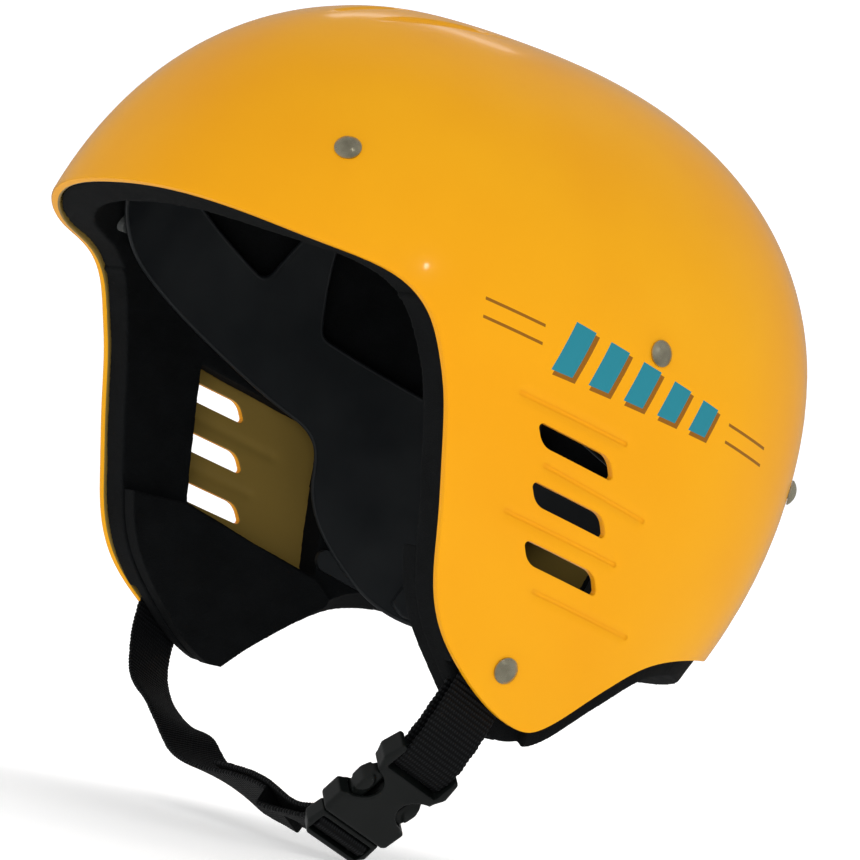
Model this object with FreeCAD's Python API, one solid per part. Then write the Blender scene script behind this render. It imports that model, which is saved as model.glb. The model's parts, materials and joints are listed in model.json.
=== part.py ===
"""Open-face water sports helmet: moulded shell, foam liner, head cradle and buckled chin strap.

Millimetres. +Z is up, the face opening looks along -Y and the wearer's left is +X.
The origin is the middle of the head cavity. Every piece is mirrored across X = 0 where it repeats.
"""
import FreeCAD, Part
import math
import os

from FreeCAD import Matrix, Placement, Rotation, Vector

os.makedirs("parts", exist_ok=True)

# Outer shell: half width, reach forward, reach back and height of the crown
HALF_WIDTH = 105.0
FRONT_REACH = 127.0
REAR_REACH = 129.0
CROWN_HEIGHT = 141.0
SHELL_THICKNESS = 3.0

# How each reach changes with height: height of the widest point, roundness above it, taper below it
SIDE_SWEEP = (HALF_WIDTH, 36.5, 1.91, 0.10)
FRONT_SWEEP = (FRONT_REACH, -35.6, 2.67, 0.0)
REAR_SWEEP = (REAR_REACH, 30.9, 2.47, 0.35)
FRONT_SQUARENESS = 2.30
REAR_SQUARENESS = 2.34
SKIRT_BOTTOM = -95.0
RIM_ROUND = 0.8

# Layers, as depths below the outer surface
GLUE_GAP = 0.3
FOAM_OUTER = SHELL_THICKNESS + GLUE_GAP
FOAM_INNER = 14.0
EAR_PAD_INNER = 21.0
CRADLE_OUTER = 16.5
CRADLE_INNER = 18.0
PANEL_GAP = 0.5

# Edges in the side view, as (y, z) points joined by one smooth curve from front to rear
RIM_EDGE = [
    (-150, 74), (-112, 62.6), (-85, 54.7), (-64, 48.4), (-58.6, 43.2), (-53.4, 33.2), (-49.5, 22.7),
    (-45.6, 6.4), (-40.7, -15.6), (-36.5, -32.1), (-30.8, -42.6), (-20.9, -52.5), (-6.9, -61.8),
    (3, -65.5), (9, -66), (15, -63.3), (25.8, -54.6), (35.3, -47.2), (46.1, -40.6), (57.8, -36.9),
    (72, -34.8), (100, -34), (150, -34),
]
FOAM_EDGE = [
    (-150, 75), (-112, 63.4), (-85, 55.5), (-63.5, 49.6), (-57.6, 43.8), (-52.4, 33.5), (-48.5, 23),
    (-44.6, 6.6), (-39.7, -15.4), (-35.5, -31.7), (-30, -42.4), (-20, -54), (-8, -65), (2, -70),
    (9, -71), (18, -67.5), (28, -59.5), (39, -51.5), (50, -44.5), (60, -41.5), (75, -41), (150, -41),
]
CRADLE_EDGE = [
    (-150, 67), (-77, 65), (-60, 52.4), (-43, 43.6), (-21, 33.4), (2, 23), (17, 16.8), (25, 13.4),
    (29.8, 8.6), (32, -4.6), (35, -14.2), (39.4, -21.2), (46.5, -29.3), (55.5, -37.6), (64, -41.8),
    (75, -43), (150, -43),
]

# Vent slots through the shell: a leaning parallelogram repeated down each side
SLOT_COUNT = 3
SLOT_START = (-20.2, 20.9)
SLOT_STEP = (2.9, -16.6)
SLOT_LENGTH = (27.8, -4.8)
SLOT_DEPTH = (3.5, -6.7)
SLOT_ROUND = 6.5
SLOT_SHARP = 1.2
SLOT_ROUND_OVER = 0.5

# Shallow pressed grooves between and beside the slots, as start and end (y, z)
GROOVES = [((-28.4, 27.3), (12.2, 20.9)), ((-15, 9.2), (26, 0.8)),
           ((-23.7, -5.9), (20.1, -13.4)), ((-6.7, -26.2), (33.5, -33))]
GROOVE_WIDTH = 1.6
GROOVE_DEPTH = 0.5

# Window through the side foam behind the slots, and the ear pad below it
WINDOW = [(-16.7, 25), (-11.7, -20.4), (39.6, -34.8), (38.4, 13)]
WINDOW_ROUND = 1.0
EAR_PAD = [(-60, -21.2), (-15.6, -21), (36.5, -35.4), (43, -42), (4, -72), (-60, -72)]
EAR_PAD_ROUNDS = [0.5, 3.0, 2.0, 3.0, 6.0, 0.5]
EAR_PAD_SETBACK = 0.4
EAR_PAD_LIFT = 0.4

# Openings in the head cradle
TEMPLE_OPENING = [(-3, 55), (8, 82), (-4, 92), (-42, 90), (-52, 77)]
REAR_OPENING = [(23, 43), (16, 72), (24, 90), (80, 86), (130, 60), (130, 12)]
FOREHEAD_OPENING = [(-46, 40), (-36, 98), (36, 98), (46, 40)]
CRADLE_ROUND = 5.0
SPINE_HALF_WIDTH = 24.0

# Rear vents through the cradle and the foam behind it, in the rear view, as (x, z)
CRADLE_VENT = [(15, -23), (15, -5), (48, -5), (48, -23)]
FOAM_VENT = [(22, -25), (22, -3), (62, -3), (62, -25)]
VENT_ROUND = 4.0

# Rivets: (y, z) on the shell, except the rear pair, which is given by (x, z)
RIVET_HEAD_RADIUS = 3.9
RIVET_HEAD_HEIGHT = 1.7
RIVET_SHANK_RADIUS = 2.0
RIVET_HOLE_RADIUS = 2.15
FRONT_RIVET = (-80.2, 83.5)
SIDE_RIVET = (17.4, 49.1)
REAR_RIVET = (66.0, 23.5)
STRAP_RIVET = (-6.8, -50.0)
HEAD_LIFT = 0.55
CRADLE_RIVETS = ("front", "rear")
WASHER_RADIUS = 5.0
WASHER_THICKNESS = 0.7
WASHER_GAP = 0.4

# Chin strap: it lies in a plane through both strap rivets that leans forward from vertical
STRAP_LEAN = 20.0
WEBBING_WIDTH = 19.0
WEBBING_THICKNESS = 1.4
STRAP_EYE_RADIUS = 2.7
POCKET_DEPTH = 7.6
POCKET = [(-21.8, -50), (-42, -86), (14, -92), (8.2, -50), (3.8, -39.4), (-6.8, -35), (-17.4, -39.4)]

# Left half: from the rivet round the socket's bar and back, as (sideways, down the plane)
LEFT_ROUTE = [
    (93.4, -9), (92.0, 0), (90.9, 9), (90.4, 18), (89.4, 25), (88.2, 30.1), (86.7, 33.2), (85.1, 35.0),
    (82.8, 34.7), (81.6, 32.5), (83.1, 29.2), (86.1, 23.6), (88.2, 17.6), (88.8, 13.5),
]
# Right half: from the rivet under the head, through the plug's bars and back as a loose tail
RIGHT_ROUTE = [
    (-93.4, -9), (-92.0, 0), (-90.9, 9), (-87.4, 20), (-80, 30.5), (-68, 38.5), (-50, 45.5), (-28, 51),
    (-2, 55.5), (22, 58), (40, 59.8), (50, 60.6), (54, 60.7), (56.7, 60.3), (58.3, 59.5), (60.1, 59.5),
    (62.4, 61.0), (64.2, 61.8), (65.5, 61.2), (65.9, 59.8), (64.7, 58.0), (63.0, 57.1), (60.6, 56.7),
    (57.6, 57.0), (50, 57.6), (40, 57.0), (22, 55.2), (8, 53.4),
]
TWIST_CENTRE = 6
TWIST_SPREAD = 2.2
TWIST_ANGLE = 38.0

# Side-release buckle: start of the socket in the strap plane and the direction it points
BUCKLE_START = (85.5, 31.0)
BUCKLE_SLOPE = 37.9
BUCKLE_LENGTH = 41.2
SOCKET_LENGTH = 31.2
SOCKET_THICKNESS = 8.4
SOCKET_OUTLINE = [(0, 11.6), (6.5, 13), (10, 11.2), (22.6, 11.2), (23.4, 13.2), (30.2, 12.8), (31.2, 11.6)]
CAVITY_HALF_WIDTH = 10.2
CAVITY_HALF_HEIGHT = 2.8
CAVITY_END = 9.6
NOTCH_CENTRE = 16.6
NOTCH_HALF_LENGTH = 5.9
NOTCH_FLOOR = 4.6
SLIT_HALF_WIDTH = 10.0
PLUG_FRAME_START = 31.6
PLUG_FRAME_HALF_WIDTH = 12.0
PLUG_FRAME_THICKNESS = 6.4
TONGUE_HALF_WIDTH = 2.6
TONGUE_HALF_HEIGHT = 2.2
PRONG_OUTLINE = [(31.2, 6.4), (31.2, 8.6), (29.6, 9.2), (22.9, 9.2), (21.8, 10.6), (16.5, 11.2),
                 (12.2, 9.6), (11.2, 7.8), (12.2, 6.4), (20, 5.8)]
PRONG_HALF_HEIGHT = 2.3
PAD_HALF_HEIGHT = 3.5
PAD_CENTRE = (16.8, 13.0)
PAD_HALF_LENGTH = 4.2
OVAL_STRETCH = 1.35

# Brow tab in the front view, as (x, z): a lug on an arm from the front rivet
BROW_TAB = [(66.5, 57), (72.8, 57), (72.8, 70), (65, 83), (56, 83), (56, 73), (66.5, 67)]
BROW_TAB_ROUNDS = [2.9, 2.9, 3.0, 3.0, 3.0, 3.0, 2.0]

# Nape strap: a band inside the back of the cradle, on two studs that slide fore and aft
NAPE_OUTER = 18.5
NAPE_INNER = 20.0
NAPE_END = [(67.5, -25), (61, -37.5), (64, -41.5), (150, -41.5), (150, -25)]
NAPE_STUD_X = 18.0
NAPE_STUD_Z = -34.0
NAPE_STUD_RADIUS = 2.2
NAPE_STUD_LENGTH = 11.0
NAPE_STUD_CLEARANCE = 0.35

# Pressed flutes on the crown: sideways place, middle (y), length, width and depth of each pair
FLUTES = [(14.0, -50.0, 34.0, 6.0, 1.1), (29.5, -36.0, 46.0, 7.0, 1.3)]

FULL = 400.0


def reach(sweep, depth, z):
    """Distance from the middle plane to the surface at height z, at a depth below the outer surface."""
    full, widest, roundness, taper = sweep
    if z > widest:
        rise = min((z - widest) / (CROWN_HEIGHT - depth - widest), 1.0)
        return (full - depth) * (1.0 - rise ** roundness) ** (1.0 / roundness)
    return (full - depth) * (1.0 - taper * ((widest - z) / 100.0) ** 2)


def surface_x(y, z, depth=0.0):
    """Half width of the surface at a place in the side view."""
    if y < 0:
        share, squareness = -y / reach(FRONT_SWEEP, depth, z), FRONT_SQUARENESS
    else:
        share, squareness = y / reach(REAR_SWEEP, depth, z), REAR_SQUARENESS
    return reach(SIDE_SWEEP, depth, z) * (1.0 - min(share, 1.0) ** squareness) ** (1.0 / squareness)


def surface_rear_y(x, z, depth=0.0):
    """How far back the surface reaches at a place in the rear view."""
    share = min(abs(x) / reach(SIDE_SWEEP, depth, z), 1.0)
    return reach(REAR_SWEEP, depth, z) * (1.0 - share ** REAR_SQUARENESS) ** (1.0 / REAR_SQUARENESS)


def level_of(point, depth=0.0):
    """Zero on the surface at a depth, negative inside it."""
    side = reach(SIDE_SWEEP, depth, point.z)
    sweep, squareness = (FRONT_SWEEP, FRONT_SQUARENESS) if point.y < 0 else (REAR_SWEEP, REAR_SQUARENESS)
    ahead = reach(sweep, depth, point.z)
    return (abs(point.x) / side) ** squareness + (abs(point.y) / ahead) ** squareness - 1.0


def surface_top_z(x, y):
    """Height of the crown above a place in the top view."""
    low, high = 60.0, CROWN_HEIGHT
    while high - low > 1e-4:
        middle = (low + high) / 2.0
        if level_of(Vector(x, y, middle)) < 0:
            low = middle
        else:
            high = middle
    return low


def normal_at(point, step=0.05):
    """Outward normal of the outer surface."""
    slopes = []
    for axis in (Vector(1, 0, 0), Vector(0, 1, 0), Vector(0, 0, 1)):
        slopes.append(level_of(point + axis * step) - level_of(point - axis * step))
    return Vector(*slopes).normalize()


def section(depth, z, count=36):
    """One closed level curve of the dome."""
    side = reach(SIDE_SWEEP, depth, z)
    points = []
    for index in range(count):
        angle = 2.0 * math.pi * index / count
        across, along = math.sin(angle), -math.cos(angle)
        front = along < 0
        power = 2.0 / (FRONT_SQUARENESS if front else REAR_SQUARENESS)
        ahead = reach(FRONT_SWEEP if front else REAR_SWEEP, depth, z)
        x = side * math.copysign(abs(across) ** power, across)
        y = ahead * math.copysign(abs(along) ** power, along)
        points.append(Vector(x, y, z))
    curve = Part.BSplineCurve()
    curve.interpolate(Points=points, PeriodicFlag=True,
                      Parameters=[index / count for index in range(count + 1)])
    return Part.Wire([curve.toShape()])


def dome(depth):
    """Solid dome whose surface lies at a depth below the outer surface."""
    rise = CROWN_HEIGHT - depth - SKIRT_BOTTOM
    angles = [*range(0, 84, 6), 84, 87, 88.9]
    wires = [section(depth, SKIRT_BOTTOM + rise * math.sin(math.radians(angle))) for angle in angles]
    return Part.makeLoft(wires, True, False)


def face_from(wire, direction):
    """Prism of a closed wire along a direction."""
    return Part.Face(wire).extrude(direction)


def below(edge):
    """Everything under a side-view edge, right across the helmet."""
    curve = Part.BSplineCurve()
    curve.interpolate([Vector(-FULL / 2, y, z) for y, z in edge])
    first, last = curve.StartPoint, curve.EndPoint
    low_last, low_first = Vector(last.x, last.y, -FULL), Vector(first.x, first.y, -FULL)
    sides = [Part.makeLine(last, low_last), Part.makeLine(low_last, low_first),
             Part.makeLine(low_first, first)]
    return face_from(Part.Wire([curve.toShape(), *sides]), Vector(FULL, 0, 0))


def rounded_wire(corners, radii):
    """Closed wire of straight sides whose corners are arcs of the given radii."""
    ends = []
    edges = []
    count = len(corners)
    for index, corner in enumerate(corners):
        towards = (corners[index - 1] - corner).normalize()
        onwards = (corners[(index + 1) % count] - corner).normalize()
        half = towards.getAngle(onwards) / 2.0
        setback = radii[index] / math.tan(half)
        start, end = corner + towards * setback, corner + onwards * setback
        bisector = (towards + onwards).normalize()
        middle = corner + bisector * (radii[index] / math.sin(half) - radii[index])
        edges.append(Part.Arc(start, middle, end).toShape())
        ends.append((start, end))
    lines = [Part.makeLine(ends[index][1], ends[(index + 1) % count][0]) for index in range(count)]
    loop = [edge for pair in zip(edges, lines) for edge in pair]
    return Part.Wire(loop)


def side_prism(outline, radii, side, inner_x=0.0):
    """Prism through one side of the helmet from a side-view outline; side is +1 for left, -1 for right."""
    corners = [Vector(side * inner_x, y, z) for y, z in outline]
    if not isinstance(radii, list):
        radii = [radii] * len(corners)
    return face_from(rounded_wire(corners, radii), Vector(side * FULL / 2, 0, 0))


def box(low, high):
    """Box between two corners."""
    return Part.makeBox(high[0] - low[0], high[1] - low[1], high[2] - low[2], Vector(*low))


def aligned(shape, origin, direction):
    """Shape drawn along +Z, moved to point along a direction from an origin."""
    moved = shape.copy()
    moved.Placement = Placement(origin, Rotation(Vector(0, 0, 1), direction))
    return moved


def softened(shape, radius, keep):
    """Round the edges that a test picks, or leave them if they can't be rounded."""
    edges = [edge for edge in shape.Edges if keep(edge)]
    try:
        rounded = shape.makeFillet(radius, edges)
    except (Part.OCCError, ValueError):
        return shape
    return rounded if rounded.isValid() else shape


def opposite(vector):
    """The same point or direction on the wearer's other side."""
    return Vector(-vector.x, vector.y, vector.z)


def group(solids):
    """Separate solids that share a node."""
    return Part.makeCompound(solids)


def side_point(place, depth=0.0):
    """Point on the left of the shell from its side-view place."""
    y, z = place
    return Vector(surface_x(y, z, depth), y, z)


# Rivets


def rivet_seats():
    """Outer point of each left-hand rivet."""
    x, z = REAR_RIVET
    return {
        "front": side_point(FRONT_RIVET),
        "side": side_point(SIDE_RIVET),
        "rear": Vector(x, surface_rear_y(x, z), z),
        "strap": side_point(STRAP_RIVET),
    }


SEATS = rivet_seats()


def grip_of(name):
    """Distance along a rivet from the outer surface to the innermost layer it holds."""
    layer = CRADLE_INNER if name in CRADLE_RIVETS else FOAM_INNER
    seat, outward = SEATS[name], normal_at(SEATS[name])
    low, high = 5.0, 40.0
    while high - low > 1e-4:
        middle = (low + high) / 2.0
        if level_of(seat - outward * middle, layer) > 0:
            low = middle
        else:
            high = middle
    return low


def at_seats(name, upright):
    """A round shape drawn upright, set at a rivet's place on each side."""
    seat, outward = SEATS[name], normal_at(SEATS[name])
    return [aligned(upright, seat, outward), aligned(upright, opposite(seat), opposite(outward))]


def rivets(name):
    """Pair of rivets: domed head, shank and clinched inner end."""
    ball = (RIVET_HEAD_RADIUS ** 2 + RIVET_HEAD_HEIGHT ** 2) / (2.0 * RIVET_HEAD_HEIGHT)
    cap = Part.makeSphere(ball, Vector(0, 0, HEAD_LIFT + RIVET_HEAD_HEIGHT - ball))
    head = cap.common(Part.makeCylinder(RIVET_HEAD_RADIUS, RIVET_HEAD_HEIGHT * 2.0, Vector(0, 0, HEAD_LIFT)))
    skirt = Part.makeCylinder(RIVET_HEAD_RADIUS, 0.5, Vector(0, 0, HEAD_LIFT - 0.5))
    end = -grip_of(name) - WASHER_GAP * 2.0 - WASHER_THICKNESS
    shank = Part.makeCylinder(RIVET_SHANK_RADIUS, HEAD_LIFT - end, Vector(0, 0, end))
    clinch = Part.makeCylinder(RIVET_SHANK_RADIUS + 1.0, 0.8, Vector(0, 0, end - 0.8))
    return group(at_seats(name, head.fuse([skirt, shank, clinch]).removeSplitter()))


def washers(name):
    """Pair of flat rings under the clinched ends."""
    low = -grip_of(name) - WASHER_GAP - WASHER_THICKNESS
    ring = Part.makeCylinder(WASHER_RADIUS, WASHER_THICKNESS, Vector(0, 0, low))
    hole = Part.makeCylinder(RIVET_HOLE_RADIUS, WASHER_THICKNESS * 3, Vector(0, 0, low - WASHER_THICKNESS))
    return group(at_seats(name, ring.cut(hole)))


def rivet_holes(names):
    """Clearance holes for some of the rivets, on both sides."""
    hole = Part.makeCylinder(RIVET_HOLE_RADIUS, 60, Vector(0, 0, -30))
    return [cutter for name in names for cutter in at_seats(name, hole)]


# Shell


def slot_cutter(index, side):
    """One vent slot."""
    start = [SLOT_START[axis] + index * SLOT_STEP[axis] for axis in (0, 1)]
    corners = []
    for along, deep in ((0, 0), (1, 0), (1, 1), (0, 1)):
        corners.append(tuple(start[axis] + along * SLOT_LENGTH[axis] + deep * SLOT_DEPTH[axis]
                             for axis in (0, 1)))
    return side_prism(corners, [SLOT_SHARP, SLOT_ROUND, SLOT_SHARP, SLOT_ROUND], side, 60.0)


def groove_cutter(ends, side):
    """Skin-deep channel along a side-view line."""
    (y0, z0), (y1, z1) = ends
    run = Vector(0, y1 - y0, z1 - z0).normalize()
    across = Vector(0, -run.z, run.y) * (GROOVE_WIDTH / 2.0)
    start, end = Vector(60 * side, y0, z0), Vector(60 * side, y1, z1)
    corners = [start + across, end + across, end - across, start - across]
    return face_from(rounded_wire(corners, [GROOVE_WIDTH * 0.45] * 4), Vector(side * FULL / 2, 0, 0))


def corner_key(edge):
    """Rounded middle of an edge, which tells edges apart."""
    middle = edge.CenterOfMass
    return round(middle.x, 2), round(middle.y, 2), round(middle.z, 2)


def on_skin(edge):
    """Whether an edge runs along the shell's outer or inner surface, not through its thickness."""
    first, last = edge.Vertexes[0].Point, edge.Vertexes[-1].Point
    return abs(first.x - last.x) < SHELL_THICKNESS * 0.6


def flute_cutter(x, y, length, width, depth):
    """Part of a wide ring that sinks into the crown along a line fore and aft."""
    span = 10.0
    heights = [surface_top_z(x, y + offset) for offset in (-span, 0.0, span)]
    along = Vector(0, 2.0 * span, heights[2] - heights[0]).normalize()
    bend = (2.0 * heights[1] - heights[0] - heights[2]) / span ** 2 * along.y ** 3
    ring = 1.0 / max(bend - 8.0 * depth / length ** 2, 0.001)
    tube = (width * width / 4.0 + depth * depth) / (2.0 * depth)
    top = Vector(x, y, heights[1])
    outward = normal_at(top)
    return aligned(Part.makeTorus(ring, tube), top + outward * (tube - depth - ring), along.cross(outward))


def outer_shell(outer, inner, rim, holes):
    """Moulded shell with its vent slots, pressed grooves and rivet holes."""
    shell = outer.cut(inner).cut(rim)
    shell = softened(shell, RIM_ROUND, lambda edge: edge.Length > 60 and edge.BoundBox.XLength > 1.0)
    before = {corner_key(edge) for edge in shell.Edges}
    for index in range(SLOT_COUNT):
        shell = shell.cut(slot_cutter(index, 1)).cut(slot_cutter(index, -1))
    shell = softened(shell, SLOT_ROUND_OVER, lambda edge: corner_key(edge) not in before and on_skin(edge))
    for cutter in holes:
        shell = shell.cut(cutter)
    skin = outer.cut(dome(GROOVE_DEPTH))
    grooves = [groove_cutter(ends, side).common(skin) for ends in GROOVES for side in (1, -1)]
    flutes = [flute_cutter(side * x, *rest) for x, *rest in FLUTES for side in (1, -1)]
    return shell.cut([*grooves, *flutes])


# Foam liner


def foam_panels(layer, holes):
    """Brow, crown, rear and side panels cut from one foam layer."""
    top, front, back = 97.5, -60.0, 64.0
    crown = layer.common(box((-150, -150, top + PANEL_GAP), (150, 150, 150)))
    lower = layer.common(box((-150, -150, -150), (150, 150, top)))
    panels = {
        "crown_pad": crown,
        "brow_pad": lower.common(box((-150, -150, -150), (150, front, 150))),
        "rear_pad": lower.common(box((-150, back, -150), (150, 150, 150))),
    }
    for name, side in (("left", 1), ("right", -1)):
        x_range = (0, 150) if side > 0 else (-150, 0)
        panel = lower.common(box((x_range[0], front + PANEL_GAP, -150), (x_range[1], back - PANEL_GAP, 150)))
        window = side_prism(WINDOW, WINDOW_ROUND, side)
        pocket = side_prism(POCKET, 2.0, side)
        panel = panel.cut(window).cut(pocket.cut(dome(POCKET_DEPTH)))
        panels["side_pad_" + name] = panel
    return {name: panel.cut(holes) for name, panel in panels.items()}


def ear_pad(layer, side):
    """Second, thicker foam layer over the ear."""
    inset = [(y + EAR_PAD_SETBACK, z + EAR_PAD_LIFT) for y, z in FOAM_EDGE]
    pad = layer.common(side_prism(EAR_PAD, EAR_PAD_ROUNDS, side)).cut(below(inset))
    depth = grip_of("strap") + 2.6
    recess = Part.makeCylinder(WASHER_RADIUS + 1.0, depth, Vector(0, 0, -depth))
    return pad.cut(at_seats("strap", recess))


def rear_vents(outline):
    """Pair of prisms through the back of the helmet from a rear-view outline."""
    prisms = []
    for side in (1, -1):
        corners = [Vector(side * x, 0, z) for x, z in outline]
        prisms.append(face_from(rounded_wire(corners, [VENT_ROUND] * 4), Vector(0, FULL / 2, 0)))
    return prisms


# Head cradle


def head_cradle(layer, holes):
    """Thin moulded cradle: a head band with arms that meet over the crown."""
    cradle = layer.cut(below(CRADLE_EDGE))
    for side in (1, -1):
        cradle = cradle.cut(side_prism(TEMPLE_OPENING, CRADLE_ROUND, side))
        cradle = cradle.cut(side_prism(REAR_OPENING, CRADLE_ROUND, side, SPINE_HALF_WIDTH))
    corners = [Vector(x, -150, z) for x, z in FOREHEAD_OPENING]
    forehead = face_from(rounded_wire(corners, [4.0, 14.0, 14.0, 4.0]), Vector(0, 150, 0))
    return cradle.cut(forehead).cut(holes)


def brow_tab(side):
    """Small rounded lug, on an arm held by a front rivet, that shows below the brow foam."""
    layer = dome(FOAM_INNER + 0.6).cut(dome(FOAM_INNER + 1.8))
    outline = [Vector(side * x, -150, z) for x, z in BROW_TAB]
    tab = layer.common(face_from(rounded_wire(outline, BROW_TAB_ROUNDS), Vector(0, 150, 0)))
    return tab.cut(rivet_holes(["front"]))


def nape_tab(side):
    """Rounded tongue of the cradle's wing, between the cradle and the foam."""
    layer = dome(FOAM_INNER + 0.4).cut(dome(CRADLE_OUTER - 0.4))
    outline = [(38.5, -24), (38.5, -31.5), (60, -38), (60, -30)]
    return layer.common(side_prism(outline, [3.5, 3.5, 0.5, 0.5], side))


def nape_studs(radius, length):
    """Round studs that point back from the nape strap's inner face."""
    back = surface_rear_y(NAPE_STUD_X, NAPE_STUD_Z, NAPE_INNER) + 0.2
    starts = [Vector(side * NAPE_STUD_X, back, NAPE_STUD_Z) for side in (1, -1)]
    return [Part.makeCylinder(radius, length, start, Vector(0, 1, 0)) for start in starts]


def nape_strap():
    """Curved band behind the neck with the two studs that carry it."""
    corners = [Vector(-FULL / 2, y, z) for y, z in NAPE_END]
    outline = face_from(rounded_wire(corners, [2.0, 2.0, 2.0, 0.5, 0.5]), Vector(FULL, 0, 0))
    band = dome(NAPE_OUTER).cut(dome(NAPE_INNER)).common(outline)
    return band.fuse(nape_studs(NAPE_STUD_RADIUS, NAPE_STUD_LENGTH)).removeSplitter()


def stud_ways():
    """Holes that the nape strap's studs slide in."""
    return nape_studs(NAPE_STUD_RADIUS + NAPE_STUD_CLEARANCE, NAPE_STUD_LENGTH + 0.5)


# Chin strap


def strap_frame():
    """Middle of the strap plane with its sideways, downward and forward directions."""
    lean = math.radians(STRAP_LEAN)
    y, z = STRAP_RIVET
    down = Vector(0, -math.sin(lean), -math.cos(lean))
    forward = Vector(0, -math.cos(lean), math.sin(lean))
    return Vector(0, y, z), Vector(1, 0, 0), down, forward


def on_strap(place):
    """Point in space from a place in the strap plane."""
    middle, sideways, down, _ = strap_frame()
    return middle + sideways * place[0] + down * place[1]


def webbing(route, twists=None):
    """Flat webbing along a smooth route in the strap plane; twists turns it about the route, in degrees."""
    forward = strap_frame()[3]
    path = Part.BSplineCurve()
    path.interpolate([on_strap(place) for place in route])
    knots = path.getKnots()
    sections = []
    steps = 4
    for index in range((len(route) - 1) * steps + 1):
        whole, part = divmod(index, steps)
        following = knots[min(whole + 1, len(knots) - 1)]
        parameter = knots[whole] + (following - knots[whole]) * part / steps
        place = path.value(parameter)
        run = Vector(*path.tangent(parameter)[0])
        across = forward * (WEBBING_WIDTH / 2.0)
        if twists:
            across = Rotation(run, twists(index / steps)).multVec(across)
        through = run.cross(across).normalize() * (WEBBING_THICKNESS / 2.0)
        corners = [place + across + through, place - across + through,
                   place - across - through, place + across - through]
        sections.append(Part.makePolygon([*corners, corners[0]]))
    return Part.makeLoft(sections, True, True)


def strap_eyes():
    """Holes in the webbing for the strap rivets."""
    return at_seats("strap", Part.makeCylinder(STRAP_EYE_RADIUS, 40, Vector(0, 0, -20)))


def right_twist(station):
    """Turn of the right-hand webbing about its own length, in degrees."""
    return TWIST_ANGLE * math.exp(-((station - TWIST_CENTRE) / TWIST_SPREAD) ** 2)


# Buckle: drawn flat with its length along X, its width along Y and its thickness along Z


def in_buckle(shape):
    """Move a shape from the flat drawing to its place on the strap."""
    _, sideways, down, forward = strap_frame()
    slope = math.radians(BUCKLE_SLOPE)
    along = sideways * -math.sin(slope) + down * math.cos(slope)
    inward = along.cross(forward)
    origin = on_strap(BUCKLE_START)
    place = Matrix(along.x, forward.x, inward.x, origin.x, along.y, forward.y, inward.y, origin.y,
                   along.z, forward.z, inward.z, origin.z, 0, 0, 0, 1)
    moved = shape.copy()
    moved.Placement = Placement(place)
    return moved


def slab(outline, half_height):
    """Flat prism of a closed outline about the middle of the buckle's thickness."""
    corners = [Vector(x, y, -half_height) for x, y in outline]
    return face_from(Part.makePolygon([*corners, corners[0]]), Vector(0, 0, 2.0 * half_height))


def oval(half_length, x, y):
    """Upright oval post, longer across the buckle than along it."""
    post = Part.makeCylinder(half_length, 20, Vector(0, 0, -10))
    stretch = Matrix()
    stretch.A22 = OVAL_STRETCH
    post = post.transformGeometry(stretch)
    post.translate(Vector(x, y, 0))
    return post


def buckle_socket():
    """Socket with side notches for the prongs and a bar for the webbing."""
    outline = SOCKET_OUTLINE + [(x, -y) for x, y in reversed(SOCKET_OUTLINE)]
    half = SOCKET_THICKNESS / 2.0
    body = slab(outline, half)
    body = softened(body, 1.1, lambda edge: abs(abs(edge.CenterOfMass.z) - half) < 1e-6)
    cavity = box((CAVITY_END, -CAVITY_HALF_WIDTH, -CAVITY_HALF_HEIGHT),
                 (SOCKET_LENGTH + 1, CAVITY_HALF_WIDTH, CAVITY_HALF_HEIGHT))
    slit = box((3.0, -SLIT_HALF_WIDTH, -half - 1), (8.2, SLIT_HALF_WIDTH, half + 1))
    bar_top = box((-1, -SLIT_HALF_WIDTH, 1.2), (3.1, SLIT_HALF_WIDTH, half + 1))
    bar_bottom = box((-1, -SLIT_HALF_WIDTH, -half - 1), (3.1, SLIT_HALF_WIDTH, -1.2))
    cutters = [cavity, slit, bar_top, bar_bottom]
    for side in (1, -1):
        middle = NOTCH_FLOOR + NOTCH_HALF_LENGTH * OVAL_STRETCH
        cutters.append(oval(NOTCH_HALF_LENGTH, NOTCH_CENTRE, side * middle))
    return in_buckle(body.cut(cutters))


def buckle_plug():
    """Plug: frame with two webbing bars, and the middle tongue that guides it into the socket."""
    half = PLUG_FRAME_THICKNESS / 2.0
    wide = PLUG_FRAME_HALF_WIDTH
    start, end = PLUG_FRAME_START, BUCKLE_LENGTH
    outline = [(start, wide - 0.6), (end - 3.5, wide), (end, wide - 3.2)]
    frame = slab(outline + [(x, -y) for x, y in reversed(outline)], half)
    frame = softened(frame, 1.1, lambda edge: abs(abs(edge.CenterOfMass.z) - half) < 1e-6)
    slits = [box((start + 1.6, -10, -half - 1), (start + 3.4, 10, half + 1)),
             box((start + 5.2, -10, -half - 1), (start + 7.8, 10, half + 1)),
             box((start + 3.3, -10, 0.4), (start + 5.3, 10, half + 1)),
             box((start + 3.3, -10, -half - 1), (start + 5.3, 10, -1.6))]
    tongue = box((CAVITY_END + 3, -TONGUE_HALF_WIDTH, -TONGUE_HALF_HEIGHT),
                 (start + 0.5, TONGUE_HALF_WIDTH, TONGUE_HALF_HEIGHT))
    return in_buckle(frame.cut(slits).fuse(tongue).removeSplitter())


def buckle_prong(side):
    """Springy side prong with the rounded pad that is squeezed."""
    outline = [(x, side * y) for x, y in PRONG_OUTLINE]
    arm = slab(outline, PRONG_HALF_HEIGHT)
    pad = slab(outline, PAD_HALF_HEIGHT).common(oval(PAD_HALF_LENGTH, PAD_CENTRE[0], side * PAD_CENTRE[1]))
    pad = softened(pad, 1.0, lambda edge: abs(abs(edge.CenterOfMass.z) - PAD_HALF_HEIGHT) < 1e-6)
    return in_buckle(arm.fuse(pad).removeSplitter())


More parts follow.
